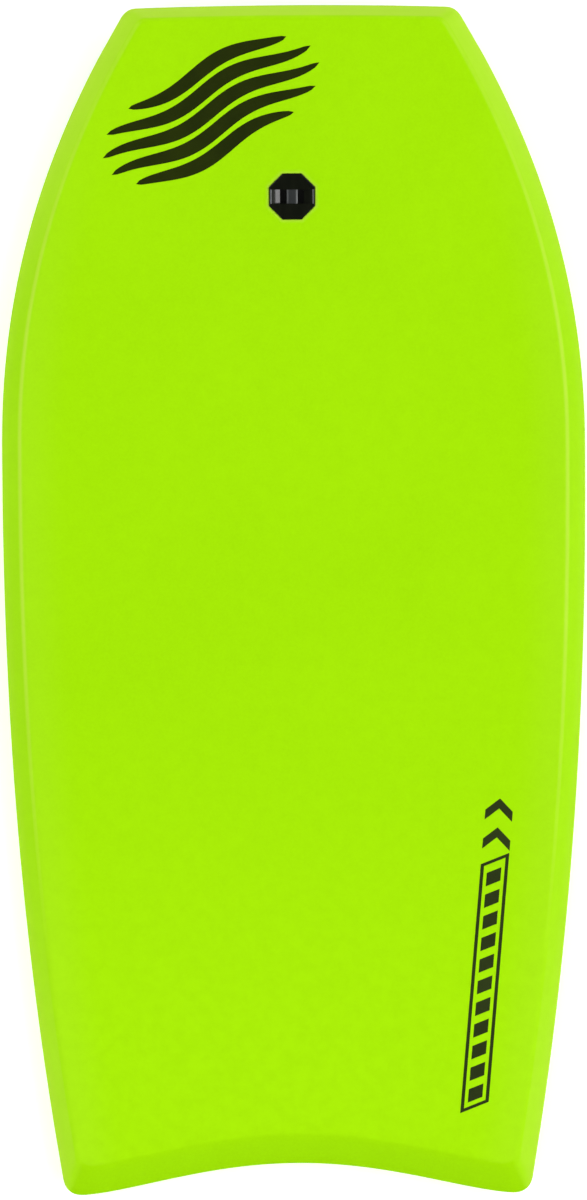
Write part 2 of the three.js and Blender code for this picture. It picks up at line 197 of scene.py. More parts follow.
# Prints: films of ink on the deck
INK_TOP = 0.15 * MM
INK_UNDER = 0.02 * MM
INK_SPACING = 7 * MM
WAVES_CENTRE = np.array([-72, 439]) * MM
WAVES_TURN = 26 * DEG
WAVES_HALF_LENGTH = 106 * MM
WAVES_HALF_WIDTH = 50 * MM
WAVE_OFFSETS = np.array([-34, -17, 0, 17, 34]) * MM
WAVE_SHEAR = 0.35
WAVE_WIDTH = 13 * MM
WAVE_HEIGHT = 5 * MM
WAVE_LENGTH = 130 * MM
WAVE_TAPER = 0.45
WAVE_STEPS = 40
BAR_FOOT = np.array([158.5, -456]) * MM
BAR_TURN = 5.1 * DEG
BAR_PRINT_LENGTH = 224 * MM
BAR_PRINT_HALF = 12.3 * MM
BAR_LINE = 3 * MM
BAR_SLANT = 0.5
BAR_END_GAP = 4 * MM
DASHES = 11
DASH_SHARE = 0.62
CHEVRONS = 2
CHEVRON_GAP = 8 * MM
CHEVRON_PITCH = 26 * MM
CHEVRON_HALF = 12.3 * MM
CHEVRON_RISE = 11 * MM
CHEVRON_WIDTH = 9 * MM

# Paler foam: painted light makes the deck paler towards the tail, painted shade keeps the tail's slope
# deeper, and the edges get painted sheen and highlight mixed with some wear
TAIL_PAINTED_LIGHT = (-50 * MM, -400 * MM)
SLOPE_TILTS = np.array([50, 57, 37]) * DEG
NOSE_SHEEN = 0.85
SIDE_SHEEN = (0.08, 0.5, 0.3)
FORE_RAMP = (200 * MM, 500 * MM)
AFT_RAMP = (200 * MM, 500 * MM)
NOSE_LINE_LOSS = 0.8
FORE_LINE_LOSS = 0.5
AFT_LINE_LOSS = 0.9
AFT_LINE_FADE = 330 * MM
LIP_PALER = 0.25
LIP_FADE = (0.1, 0.55)
BORDER_SHEEN = 0.12
BORDER_FADE = (20 * MM, 60 * MM)
RIM_HIGHLIGHT = 0.7
RIM_REACH = (1 * MM, 3 * MM)
LEAST_LEAN = 0.01
END_FACING = (0.6, 0.9)
SLOPE_FADE = (0.65, 0.95)
LINE_FADE = (0.2, 0.45)
DECK_LEVEL = 0.95
TAIL_SHADE_RAMP = (0.2, 0.65)
TAIL_CLIMB_LOSS = 0.4

# Camera and light
FRAME_LENGTH = 1.0769
FRAME_CENTRE = (-0.0009, -0.00004)
FRAME_TURN = -0.35 * DEG
CAMERA_HEIGHT = 20
SENSOR_WIDTH = 36
CLIP_END = 100
FLOOR_HALF = 30
FLOOR_DROP = 0.2 * MM
SOFTBOX_PLACE = (2.6, -0.08, 1.7)
SOFTBOX_SIZE = 0.6
SOFTBOX_WATTS = 5.7

# Round caps of the sky: direction, inner and outer angle, and strength outside and inside
UP = (0, 0, 1)
HIGH_LIGHT = (UP, 36 * DEG, 46 * DEG, 0.7, 5.4)
DARK_PATCHES = [
    (UP, 20 * DEG, 30 * DEG, 1, 0.02),
    ((-math.sin(58 * DEG), 0, math.cos(58 * DEG)), 14 * DEG, 24 * DEG, 1, 0.15),
    ((0, -math.sin(74 * DEG), math.cos(74 * DEG)), 40 * DEG, 50 * DEG, 1, 0.03),
    ((0, math.sin(64 * DEG), math.cos(64 * DEG)), 32 * DEG, 42 * DEG, 1, 0.05),
]


# ---------------------------------------------------------------- outline and heights

def half_width(y):
    fore = y > WIDEST_Y
    end = np.where(fore, NOSE_HALF_WIDTH, TAIL_HALF_WIDTH)
    run = np.where(fore, NOSE_Y - WIDEST_Y, WIDEST_Y - TAIL_Y)
    power = np.where(fore, NOSE_POWER, TAIL_POWER)
    return HALF_WIDTH - (HALF_WIDTH - end) * (np.abs(y - WIDEST_Y) / run) ** power


def side_x(y, inset):
    slope = (half_width(y + 0.5 * MM) - half_width(y - 0.5 * MM)) / MM
    return half_width(y) - inset * np.hypot(1, slope)


def nose_y(x, inset):
    return NOSE_Y - NOSE_SAG * (x / NOSE_HALF_WIDTH) ** 2 - inset


def tail_y(x, inset):
    share = np.minimum(np.abs(x) / CRESCENT_HALF_WIDTH, 1)
    return TAIL_Y + CRESCENT_DEPTH * (1 - share**2) ** CRESCENT_POWER + inset


def corner_of(end_y, side_inset, end_inset):
    """The sharp corner where an end edge would meet the side."""
    y = end_y(NOSE_HALF_WIDTH, end_inset)
    for _ in range(CORNER_PASSES):
        y = end_y(side_x(y, side_inset), end_inset)
    return np.array([side_x(y, side_inset), y])


def quadratic(a, b, c, count):
    t = np.linspace(0, 1, count + 1)[:, None]
    return (1 - t) ** 2 * a + 2 * t * (1 - t) * b + t**2 * c


def half_outline(inset):
    """Right half of the outline, from the middle of the nose to the middle of the tail."""
    side, nose, tail = inset
    nose_corner = corner_of(nose_y, side, nose)
    tail_corner = corner_of(tail_y, side, tail)
    nose_end = nose_corner[0] - NOSE_CORNER_CUT
    tail_end = tail_corner[0] - TAIL_CORNER_CUT
    start = nose_corner[1] - NOSE_CORNER_CUT
    end = tail_corner[1] + TAIL_CORNER_CUT
    nose_x = nose_end * np.arange(NOSE_STEPS) / NOSE_STEPS
    tail_x = tail_end * (1 - np.arange(CRESCENT_STEPS + 1) / CRESCENT_STEPS)
    y = np.linspace(NOSE_Y - SIDE_START_MARGIN, TAIL_Y + SIDE_END_MARGIN, SIDE_STEPS + 1)
    nose_cut = [nose_end, nose_y(nose_end, nose)]
    tail_cut = [tail_end, tail_y(tail_end, tail)]
    nose_arc = quadratic(nose_cut, nose_corner, [side_x(start, side), start], CORNER_STEPS)
    tail_arc = quadratic([side_x(end, side), end], tail_corner, tail_cut, CORNER_STEPS)
    return np.vstack([
        np.column_stack([nose_x, nose_y(nose_x, nose)]),
        nose_arc,
        np.column_stack([side_x(y, side), y]),
        tail_arc[:-1],
        np.column_stack([tail_x, tail_y(tail_x, tail)]),
    ])


def outline(inset):
    right = half_outline(inset)
    left = right[-2:0:-1] * [-1, 1]
    return np.vstack([right, left])


# Every height is a function of x and y over the plan, also where it changes along the board only.

def bottom_z(x, y):
    share = np.maximum(0, (y - ROCKER_START_Y) / (NOSE_Y - ROCKER_START_Y))
    return NOSE_ROCKER * share**2


def thickness_at(y):
    share = np.maximum(0, (y - THINNING_START_Y) / (NOSE_Y - THINNING_START_Y))
    return THICKNESS - NOSE_THINNING * share**2


def apex_z(x, y):
    return bottom_z(x, y) + APEX_SHARE * thickness_at(y)


def plain_deck_z(x, y):
    return bottom_z(x, y) + thickness_at(y)


def above(height, offset):
    return lambda x, y: height(x, y) + offset


def between(low, high, share):
    return lambda x, y: low(x, y) + (high(x, y) - low(x, y)) * share


def ring(inset, height):
    plan = outline(np.asarray(inset, float))
    return np.column_stack([plan, height(plan[:, 0], plan[:, 1])])


# ---------------------------------------------------------------- plug frame

plug_slope = math.atan((plain_deck_z(0, PLUG_Y + MM) - plain_deck_z(0, PLUG_Y - MM)) / (2 * MM))
plug_matrix = Matrix.Translation((0, PLUG_Y, plain_deck_z(0, PLUG_Y))) @ Matrix.Rotation(plug_slope, 4, "X")
PLUG_BOTTOM = -thickness_at(PLUG_Y) * math.cos(plug_slope)
CAP_RECESS_FLOOR = FLANGE_BOTTOM - CAP_GASKET - 2 * GLUE_GAP
BASE_TOP = PLUG_BOTTOM + BASE_FLANGE
BASE_RECESS_TOP = BASE_TOP + BASE_GASKET + 2 * GLUE_GAP


def at_plug(points):
    """Points of the plug's frame, in the board's frame."""
    m = np.array(plug_matrix)
    return np.asarray(points, float) @ m[:3, :3].T + m[:3, 3]


def octagon_reach(x, y):
    """How far a point lies outside an octagon of zero size, measured square to its flats."""
    diagonal = (np.abs(x) + np.abs(y)) / math.sqrt(2)
    return np.maximum(np.maximum(np.abs(x), np.abs(y)), diagonal)


def octagon_loop(flats, z, count=ROUND_STEPS):
    angle = 2 * math.pi * np.arange(count) / count
    radius = flats / 2 / octagon_reach(np.cos(angle), np.sin(angle))
    return np.column_stack([radius * np.cos(angle), radius * np.sin(angle), np.full(count, z)])


def circle_loop(radius, z, count=ROUND_STEPS):
    angle = 2 * math.pi * np.arange(count) / count
    return np.column_stack([radius * np.cos(angle), radius * np.sin(angle), np.full(count, z)])


def deck_z(x, y):
    """Deck surface: slightly uneven, and drawn down round the flange of the plug."""
    places = zip(np.ravel(x), np.ravel(y))
    wave = np.array([noise.noise(Vector((a, b, 0)) / DECK_WAVE_LENGTH) for a, b in places])
    beyond = np.maximum(0, octagon_reach(x, y - PLUG_Y) - FLANGE_FLATS / 2)
    dish = DISH_DEPTH * np.exp(-((beyond / DISH_REACH) ** 2))
    return plain_deck_z(x, y) + DECK_WAVE * wave.reshape(np.shape(x)) - dish


# ---------------------------------------------------------------- mesh making

def band(loops, closed=True):
    """Faces between stacked loops of the same number of points."""
    count = len(loops[0])
    faces = []
    for level in range(len(loops) - 1):
        for i in range(count if closed else count - 1):
            here = level * count + i
            following = level * count + (i + 1) % count
            faces.append((here, following, following + count, here + count))
    return np.vstack(loops), faces


def inside(points, loop):
    """Which points lie inside a closed loop, by counting crossings."""
    a = loop
    b = np.roll(loop, -1, axis=0)
    result = np.zeros(len(points), bool)
    for start in range(0, len(points), POINTS_AT_ONCE):
        some = slice(start, start + POINTS_AT_ONCE)
        x, y = points[some, 0, None], points[some, 1, None]
        spans = (a[:, 1] > y) != (b[:, 1] > y)
        rise = np.where(b[:, 1] == a[:, 1], 1, b[:, 1] - a[:, 1])
        crossing = a[:, 0] + (y - a[:, 1]) / rise * (b[:, 0] - a[:, 0])
        result[some] = (spans & (x < crossing)).sum(1) % 2 == 1
    return result


def clear_of(points, loop, distance):
    result = np.ones(len(points), bool)
    for start in range(0, len(points), POINTS_AT_ONCE):
        some = slice(start, start + POINTS_AT_ONCE)
        gap = points[some, None, :] - loop[None, :, :]
        result[some] = (gap**2).sum(2).min(1) > distance**2
    return result


def lattice(low, high, spacing):
    rows = np.arange(low[1], high[1], spacing * math.sqrt(3) / 2)
    columns = np.arange(low[0], high[0], spacing)
    x = columns[None, :] + (np.arange(len(rows)) % 2)[:, None] * spacing / 2
    y = np.broadcast_to(rows[:, None], x.shape)
    return np.column_stack([x.ravel(), y.ravel()])


def fill(outer, height, spacing, hole=None, extra=()):
    """Triangles over a plan region, with inner points on a lattice and every point at height(x, y)."""
    outer = np.asarray(outer)[:, :2]
    loops = [outer] if hole is None else [outer, np.asarray(hole)[:, :2]]
    points = lattice(outer.min(0), outer.max(0), spacing)
    points = points[inside(points, outer)]
    points = points[clear_of(points, outer, spacing * EDGE_CLEARANCE)]
    for loop in extra:
        points = points[~inside(points, loop[:, :2])]
        points = points[clear_of(points, loop[:, :2], spacing * HOLE_CLEARANCE)]
    if hole is not None:
        points = points[~inside(points, loops[1])]
        points = points[clear_of(points, loops[1], spacing * HOLE_CLEARANCE)]
    edges = []
    first = 0
    for loop in loops:
        edges += [(first + i, first + (i + 1) % len(loop)) for i in range(len(loop))]
        first += len(loop)
    plan = np.vstack([*loops, *[loop[:, :2] for loop in extra], points])
    made = delaunay_2d_cdt([Vector(p) for p in plan], edges, [], 1, TINY)
    xy = np.array([tuple(v) for v in made[0]])
    faces = np.array([tuple(f) for f in made[2]])
    if hole is not None:
        faces = faces[~inside(xy[faces].mean(1), loops[1])]
    return np.column_stack([xy, height(xy[:, 0], xy[:, 1])]), [tuple(int(i) for i in f) for f in faces]


def disc_cap(loop):
    """A fan over a closed loop, from the loop's middle."""
    count = len(loop)
    points = np.vstack([loop, loop.mean(0)])
    return points, [(i, (i + 1) % count, count) for i in range(count)]


def polygon_cap(loop):
    return np.asarray(loop), [tuple(range(len(loop)))]


def mesh_object(name, patches, sharp_angle=SHARP_ANGLE):
    """Joins patches into one closed mesh with its normals out, smooth but for its sharp edges."""
    bm = bmesh.new()
    for points, faces in patches:
        verts = [bm.verts.new(p) for p in points]
        for face in faces:
            bm.faces.new([verts[i] for i in face])
    bmesh.ops.remove_doubles(bm, verts=bm.verts, dist=WELD)
    bmesh.ops.dissolve_degenerate(bm, edges=bm.edges, dist=TINY)
    bmesh.ops.delete(bm, geom=[v for v in bm.verts if not v.link_faces], context="VERTS")
    bmesh.ops.recalc_face_normals(bm, faces=bm.faces)
    shade(bm, sharp_angle)
    mesh = bpy.data.meshes.new(name)
    bm.to_mesh(mesh)
    bm.free()
    obj = bpy.data.objects.new(name, mesh)
    bpy.context.scene.collection.objects.link(obj)
    return obj


def shade(bm, sharp_angle):
    for face in bm.faces:
        face.smooth = True
    for edge in bm.edges:
        edge.smooth = edge.calc_face_angle(0) < sharp_angle


def finish_piece(obj, body, node, material):
    obj.data.materials.clear()
    obj.data.materials.append(material)
    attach(obj, body)
    if node:
        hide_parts(node)
    return obj


# ---------------------------------------------------------------- materials

# Places of a mix node's colour sockets
MIX_COLOURS = (6, 7)
MIX_RESULT = 2


class Nodes:
    """A material's node tree, with short ways to add and link nodes."""

    def __init__(self, name):
        self.material = bpy.data.materials.new(name)
        self.material.use_nodes = True
        self.tree = self.material.node_tree
        self.tree.nodes.clear()
        self.shader = self.add("ShaderNodeBsdfPrincipled")
        output = self.add("ShaderNodeOutputMaterial")
        self.link(self.shader.outputs["BSDF"], output.inputs["Surface"])
        self.place = self.add("ShaderNodeTexCoord").outputs["Object"]

    def add(self, kind, **settings):
        node = self.tree.nodes.new(kind)
        for key, value in settings.items():
            setattr(node, key, value)
        return node

    def link(self, source, target):
        self.tree.links.new(source, target)

    def set(self, **values):
        for key, value in values.items():
            self.shader.inputs[key.replace("_", " ")].default_value = value

    def noise(self, size, detail=2.0, roughness=0.5, stretch=None):
        """Noise with features of about the given size in metres, from 0 to 1."""
        node = self.add("ShaderNodeTexNoise")
        node.inputs["Scale"].default_value = 1 / size
        node.inputs["Detail"].default_value = detail
        node.inputs["Roughness"].default_value = roughness
        self.link(self.stretched(stretch), node.inputs["Vector"])
        return node.outputs["Fac"]

    def cells(self, size, feature="F1", randomness=1.0):
        node = self.add("ShaderNodeTexVoronoi", feature=feature)
        node.inputs["Scale"].default_value = 1 / size
        node.inputs["Randomness"].default_value = randomness
        self.link(self.place, node.inputs["Vector"])
        return node.outputs["Distance"]

    def stretched(self, stretch):
        if stretch is None:
            return self.place
        node = self.add("ShaderNodeMapping")
        node.inputs["Scale"].default_value = stretch
        self.link(self.place, node.inputs["Vector"])
        return node.outputs["Vector"]

    def height_along(self, axis):
        """Object coordinate along one axis, in metres."""
        split = self.add("ShaderNodeSeparateXYZ")
        self.link(self.place, split.inputs[0])
        return split.outputs[axis]

    def ramp(self, factor, low, high, start=0.0, end=1.0):
        """The factor's stretch from low to high, mapped to start..end and held there."""
        node = self.add("ShaderNodeMapRange")
        node.inputs["From Min"].default_value = low
        node.inputs["From Max"].default_value = high
        node.inputs["To Min"].default_value = start
        node.inputs["To Max"].default_value = end
        self.link(factor, node.inputs["Value"])
        return node.outputs["Result"]

    def blend(self, factor, first, second):
        """Colour mix of two colours or sockets."""
        node = self.add("ShaderNodeMix", data_type="RGBA")
        self.link(factor, node.inputs["Factor"])
        for value, key in zip((first, second), MIX_COLOURS):
            if isinstance(value, tuple):
                node.inputs[key].default_value = (*value, 1)
            else:
                self.link(value, node.inputs[key])
        return node.outputs[MIX_RESULT]

    def math(self, operation, first, second):
        node = self.add("ShaderNodeMath", operation=operation)
        for value, socket in zip((first, second), node.inputs):
            if isinstance(value, (int, float)):
                socket.default_value = value
            else:
                self.link(value, socket)
        return node.outputs[0]

    def colour(self, source):
        self.link(source, self.shader.inputs["Base Color"])

    def roughness(self, source):
        self.link(source, self.shader.inputs["Roughness"])

    def bump(self, height, depth, strength=1.0):
        node = self.add("ShaderNodeBump")
        node.inputs["Strength"].default_value = strength
        node.inputs["Distance"].default_value = depth
        self.link(height, node.inputs["Height"])
        self.link(node.outputs["Normal"], self.shader.inputs["Normal"])


LIME = (0.385, 0.83, 0.0003)
LIME_PALE = (0.425, 0.90, 0.001)
LIME_DEEP = (0.36, 0.79, 0.0002)
# Pale lime for painted sheen and highlight, mixed with some wear
LIME_SHEEN_AND_WEAR = (0.52, 0.86, 0.05)
BLACK = (0.003, 0.0045, 0.0012)
BLACK_FLOW = (0.005, 0.0065, 0.002)
DULL = (0.006, 0.009, 0.008)
DULL_FLOW = (0.01, 0.014, 0.013)
# Pale grey for the slot's edges: a painted highlight on the black plastic
PAINTED_HIGHLIGHT_GREY = (0.13, 0.145, 0.14)
PAINTED_HIGHLIGHT_FLOW = (0.17, 0.19, 0.185)
BEAD = (0.82, 0.82, 0.78)
BEAD_PALE = (0.9, 0.9, 0.87)
BEAD_SEAM = (0.6, 0.6, 0.56)
SHEET = (0.011, 0.012, 0.013)
SHEET_DUSTY = (0.016, 0.017, 0.018)
SHEET_RUB = (0.04, 0.042, 0.044)
RUBBER = (0.026, 0.028, 0.028)
RUBBER_SPECK = (0.045, 0.047, 0.046)
WHITE_LOW = (0.93, 0.93, 0.93)
WHITE_HIGH = (0.95, 0.95, 0.95)
WAVE_INK = ((0.014, 0.023, 0.0003), (0.019, 0.030, 0.0004), (0.03, 0.05, 0.0006))
BAR_INK = ((0.022, 0.034, 0.007), (0.028, 0.043, 0.009), (0.045, 0.07, 0.006))


def skin_foam(name, base, pale, deep):
    """Closed-cell foam skin: soft mottling at three sizes, over a fine pebbled grain, with painted light
    towards the tail, painted shade on the tail's slope, and painted sheen and highlight mixed with wear.
    """
    n = Nodes(name)
    cloudy = n.ramp(n.noise(0.16, 2), 0.35, 0.65)
    blotchy = n.ramp(n.noise(0.012, 3, 0.6), 0.38, 0.66)
    grainy = n.ramp(n.noise(0.0022, 2, 0.6), 0.3, 0.7)
    # Painted light: the deck is painted paler towards the tail, where more light falls on it.
    painted_light_to_tail = n.ramp(n.height_along(1), *TAIL_PAINTED_LIGHT)
    tone = n.blend(n.math("MAXIMUM", painted_light_to_tail, n.math("MULTIPLY", cloudy, 0.35)), base, pale)
    # Painted shade: the tail's slope keeps the deeper colour, standing in for the shade on that slope.
    painted_tail_shade = n.add("ShaderNodeAttribute", attribute_name="painted_tail_shade").outputs["Fac"]
    tone = n.blend(painted_tail_shade, tone, deep)
    tone = n.blend(n.math("MULTIPLY", blotchy, 0.3), tone, deep)
    tone = n.blend(n.math("MULTIPLY", grainy, 0.35), tone, pale)
    # Painted sheen and highlight mixed with wear: paler lime on the rounded deck edge, the slopes, the border
    # and round the plug.
    painted_sheen_and_wear = n.add("ShaderNodeAttribute", attribute_name="sheen_and_wear").outputs["Fac"]
    n.colour(n.blend(painted_sheen_and_wear, tone, LIME_SHEEN_AND_WEAR))
    n.roughness(n.ramp(grainy, 0, 1, 0.5, 0.62))
    pebble = n.math("ADD", n.cells(0.0011), n.math("MULTIPLY", n.noise(0.004, 3, 0.6), 1.5))
    n.bump(pebble, 0.0004, 0.35)
    n.set(Specular_IOR_Level=0.03)
    return n.material


def bead_foam():
    """Moulded bead foam: packed round beads with fine dark seams."""
    n = Nodes("bead_foam")
    beads = n.cells(0.0035, "DISTANCE_TO_EDGE")
    seam = n.ramp(beads, 0.0, 0.08)
    shade_of_bead = n.ramp(n.noise(0.004, 1), 0.3, 0.7)
    body = n.blend(shade_of_bead, BEAD, BEAD_PALE)
    n.colour(n.blend(seam, BEAD_SEAM, body))
    n.roughness(n.ramp(seam, 0, 1, 0.9, 0.75))
    n.bump(n.ramp(beads, 0.0, 0.3), 0.0008, 0.6)
    return n.material


def slick_plastic():
    """Smooth dark plastic sheet: faint orange peel, long fine rub marks and dust-dull patches."""
    n = Nodes("slick_plastic")
    patches = n.ramp(n.noise(0.09, 4, 0.6), 0.35, 0.7)
    rubs = n.ramp(n.noise(0.004, 3, 0.6, stretch=(1, 0.04, 1)), 0.55, 0.75)
    tone = n.blend(patches, SHEET, SHEET_DUSTY)
    n.colour(n.blend(n.math("MULTIPLY", rubs, 0.35), tone, SHEET_RUB))
    n.roughness(n.ramp(n.math("ADD", patches, rubs), 0, 2, 0.26, 0.5))
    peel = n.math("ADD", n.noise(0.006, 1), n.math("MULTIPLY", rubs, -0.15))
    n.bump(peel, 0.0003, 0.2)
    return n.material


def moulded_plastic(name, dark, light, smoothest, roughest):
    """Injection-moulded plastic with a fine spark-eroded grain and faint flow marks."""
    n = Nodes(name)
    grain = n.noise(0.0005, 2, 0.6)
    flow = n.ramp(n.noise(0.006, 3, 0.5, stretch=(1, 0.3, 1)), 0.35, 0.7)
    n.colour(n.blend(flow, dark, light))
    n.roughness(n.ramp(n.math("ADD", grain, flow), 0.4, 1.6, smoothest, roughest))
    n.bump(grain, 0.0001, 0.25)
    return n.material


def gasket_rubber():
    n = Nodes("gasket_rubber")
    speck = n.ramp(n.noise(0.0006, 3, 0.7), 0.4, 0.7)
    n.colour(n.blend(speck, RUBBER, RUBBER_SPECK))
    n.roughness(n.ramp(speck, 0, 1, 0.72, 0.88))
    n.bump(speck, 0.0001, 0.4)
    return n.material


def screen_ink(name, dark, light, showing):
    """Dark olive ink, slightly thinned where the foam's grain shows through."""
    n = Nodes(name)
    thin = n.ramp(n.noise(0.0016, 3, 0.7), 0.5, 0.85)
    cloudy = n.ramp(n.noise(0.03, 3), 0.35, 0.7)
    n.colour(n.blend(n.math("MULTIPLY", thin, 0.3), n.blend(cloudy, dark, light), showing))
    n.roughness(n.ramp(thin, 0, 1, 0.55, 0.7))
    n.bump(n.noise(0.0016, 2, 0.6), 0.0002, 0.3)
    n.set(Specular_IOR_Level=0.05)
    return n.material


def plain_floor():
    n = Nodes("plain_floor")
    faint = n.ramp(n.noise(0.5, 2), 0.3, 0.7)
    n.colour(n.blend(faint, WHITE_LOW, WHITE_HIGH))
    n.set(Roughness=0.9, Specular_IOR_Level=0.1)
    n.set(Emission_Color=(1, 1, 1, 1), Emission_Strength=0.45)
    return n.material


# ---------------------------------------------------------------- foam layers

def smooth(value, low, high):
    """Eases from 0 at low to 1 at high."""
    t = np.clip((value - low) / (high - low), 0, 1)
    return t * t * (3 - 2 * t)


def add_sheen_and_wear(obj):
    """Marks the paler foam, which is painted sheen and highlight mixed with wear: the deck's rounded edge,
    the nose, the sides a little, and round the plug.

    The slope at the tail gets a painted shade: it keeps its deeper colour where the rest of the deck is
    painted paler towards the tail.
    """
    mesh = obj.data
    places = np.array([v.co for v in mesh.vertices])
    normals = np.array([v.normal for v in mesh.vertices])
    lean = np.hypot(normals[:, 0], normals[:, 1])
    forward = normals[:, 1] / np.maximum(lean, LEAST_LEAN)
    nose = smooth(forward, *END_FACING)
    tail = smooth(-forward, *END_FACING)
    sides = 1 - nose - tail
    slope_tilt = sides * SLOPE_TILTS[0] + nose * SLOPE_TILTS[1] + tail * SLOPE_TILTS[2]
    share = np.arctan2(lean, normals[:, 2]) / slope_tilt
    slope = smooth(share, *SLOPE_FADE)
    # Painted highlight: a paler line along the deck's rounded edge.
    line = smooth(share, *LINE_FADE) * (1 - slope)
    x, y, z = places.T
    fore, aft = smooth(y, *FORE_RAMP), smooth(-y, *AFT_RAMP)
    line *= (1 - tail) * (1 - NOSE_LINE_LOSS * nose) * (1 - FORE_LINE_LOSS * fore)
    line *= 1 - AFT_LINE_LOSS * np.clip(-y / AFT_LINE_FADE, 0, 1)
    side_sheen = SIDE_SHEEN[0] + SIDE_SHEEN[1] * fore + SIDE_SHEEN[2] * aft
    climb = (z - apex_z(x, y)) / (plain_deck_z(x, y) - apex_z(x, y))
    lip = LIP_PALER * (1 - smooth(climb, *LIP_FADE)) * (1 - tail)
    border = BORDER_SHEEN * (1 - smooth(half_width(y) - np.abs(x), *BORDER_FADE)) * (1 - fore)
    # Painted sheen with some wear: paler slopes at the nose and sides, and a paler lip and border near the
    # edges.
    sheen_and_wear = np.maximum(line, slope * (nose * NOSE_SHEEN + sides * side_sheen) + lip)
    sheen_and_wear = np.maximum(sheen_and_wear, np.where(climb > DECK_LEVEL, border, 0))
    from_plug = octagon_reach(x, y - PLUG_Y) - FLANGE_FLATS / 2
    # Painted highlight: a paler rim of foam round the plug's flange.
    rim = RIM_HIGHLIGHT * (1 - smooth(from_plug, *RIM_REACH))
    sheen_and_wear = np.where(from_plug < DISH_RINGS[-1], rim, sheen_and_wear)
    # Painted shade: the tail's slope gets the deeper colour, less of it higher up.
    painted_tail_shade = tail * smooth(share, *TAIL_SHADE_RAMP) * (1 - TAIL_CLIMB_LOSS * np.clip(climb, 0, 1))
    for name, values in (("sheen_and_wear", sheen_and_wear), ("painted_tail_shade", painted_tail_shade)):
        attribute = mesh.attributes.new(name, "FLOAT", "POINT")
        attribute.data.foreach_set("value", values.astype(np.float32))


# Rise of the two slopes, and the plan distances that give the skin and the rails their thickness there
UPPER_RISE = (1 - APEX_SHARE) * THICKNESS
LOWER_RISE = APEX_SHARE * THICKNESS
SKIN_SHIFT = SKIN * np.hypot(UPPER_BEVEL, UPPER_RISE) / UPPER_RISE
RAIL_SHIFT = RAIL * np.hypot(LOWER_BEVEL, LOWER_RISE) / LOWER_RISE
INNER_DECK = UPPER_BEVEL * (1 - SKIN / UPPER_RISE) + SKIN_SHIFT
RAIL_FOOT = LOWER_BEVEL * (1 - (SLICK + GLUE_GAP) / LOWER_RISE)
skin_under_z = above(plain_deck_z, -SKIN)
rail_foot_z = above(bottom_z, SLICK + GLUE_GAP)
rail_head_z = above(apex_z, -GLUE_GAP)


def mixed(weights, heights):
    return lambda x, y: sum(w * height(x, y) for w, height in zip(weights, heights))


def curved_rings(start, middle, end, steps):
    """Rings along a quadratic curve across the edge, given as three pairs of inset and height."""
    insets, heights = zip(start, middle, end)
    rings = []
    for t in np.linspace(0, 1, steps):
        weights = ((1 - t) ** 2, 2 * t * (1 - t), t**2)
        rings.append(ring(sum(w * inset for w, inset in zip(weights, insets)), mixed(weights, heights)))
    return rings


def plug_circle(radius, level, height):
    """Circle square to the plug's axis, laid on a surface."""
    loop = at_plug(circle_loop(radius, level))
    loop[:, 2] = height(loop[:, 0], loop[:, 1])
    return loop


def deck_foam():
    slope_length = math.hypot(UPPER_BEVEL[0], UPPER_RISE)
    low = LIP_ROUND / slope_length
    high = 1 - DECK_ROUND / slope_length
    lip = curved_rings(
        (NO_INSET + LIP_ROUND, apex_z),
        (NO_INSET, apex_z),
        (UPPER_BEVEL * low, between(apex_z, plain_deck_z, low)),
        LIP_STEPS,
    )
    slope = [
        ring(UPPER_BEVEL * share, between(apex_z, deck_z, share))
        for share in np.linspace(low, high, SLOPE_STEPS)[1:-1]
    ]
    corner = curved_rings(
        (UPPER_BEVEL * high, between(apex_z, deck_z, high)),
        (UPPER_BEVEL, deck_z),
        (UPPER_BEVEL + DECK_ROUND, deck_z),
        DECK_ROUND_STEPS,
    )
    outer = [ring(INNER_DECK, skin_under_z), ring(SKIN_SHIFT, apex_z), *lip, *slope, *corner]
    recess = FLANGE_FLATS + 2 * GLUE_GAP
    rim = at_plug(octagon_loop(recess, 0))
    rim[:, 2] = deck_z(rim[:, 0], rim[:, 1])
    collar = [at_plug(octagon_loop(recess + 2 * reach, 0)) for reach in DISH_RINGS]
    well = [
        rim,
        at_plug(octagon_loop(recess, CAP_RECESS_FLOOR)),
        at_plug(circle_loop(HOLE_RADIUS, CAP_RECESS_FLOOR)),
        plug_circle(HOLE_RADIUS, -SKIN, skin_under_z),
    ]
    top = fill(corner[-1], deck_z, DECK_SPACING, hole=rim, extra=collar)
    under = fill(outer[0], skin_under_z, HIDDEN_SPACING, hole=well[-1])
    obj = mesh_object("deck_foam", [band(outer), top, band(well), under])
    add_sheen_and_wear(obj)
    return finish_piece(obj, "board", "deck_skin", foam_of_deck)


def rail_section():
    """Rings of the lower rail, in order round its section, with the two outer corners rounded."""
    step = LOWER_BEVEL * LIP_ROUND / LOWER_RISE
    low = curved_rings(
        (RAIL_FOOT + LIP_ROUND, rail_foot_z),
        (RAIL_FOOT, rail_foot_z),
        (RAIL_FOOT - step, above(rail_foot_z, LIP_ROUND)),
        LIP_STEPS,
    )
    high = curved_rings(
        (step, above(rail_head_z, -LIP_ROUND)),
        (NO_INSET, rail_head_z),
        (NO_INSET + LIP_ROUND, rail_head_z),
        LIP_STEPS,
    )
    return [*low, *high, ring(RAIL_SHIFT, rail_head_z), ring(RAIL_FOOT + RAIL_SHIFT, rail_foot_z)]


def step_at(y):
    """Outline step on the right side that lies at station y."""
    first = NOSE_STEPS + CORNER_STEPS + 1
    steps = np.arange(first, first + SIDE_STEPS + 1)
    return float(np.interp(-y, -half_outline(NO_INSET)[steps, 1], steps))


def across_rail(section, step):
    """The rail's section at one outline step, as a closed loop."""
    low = math.floor(step)
    count = len(section[0])
    near, far = low % count, (low + 1) % count
    return np.array([line[near] * (low + 1 - step) + line[far] * (step - low) for line in section])


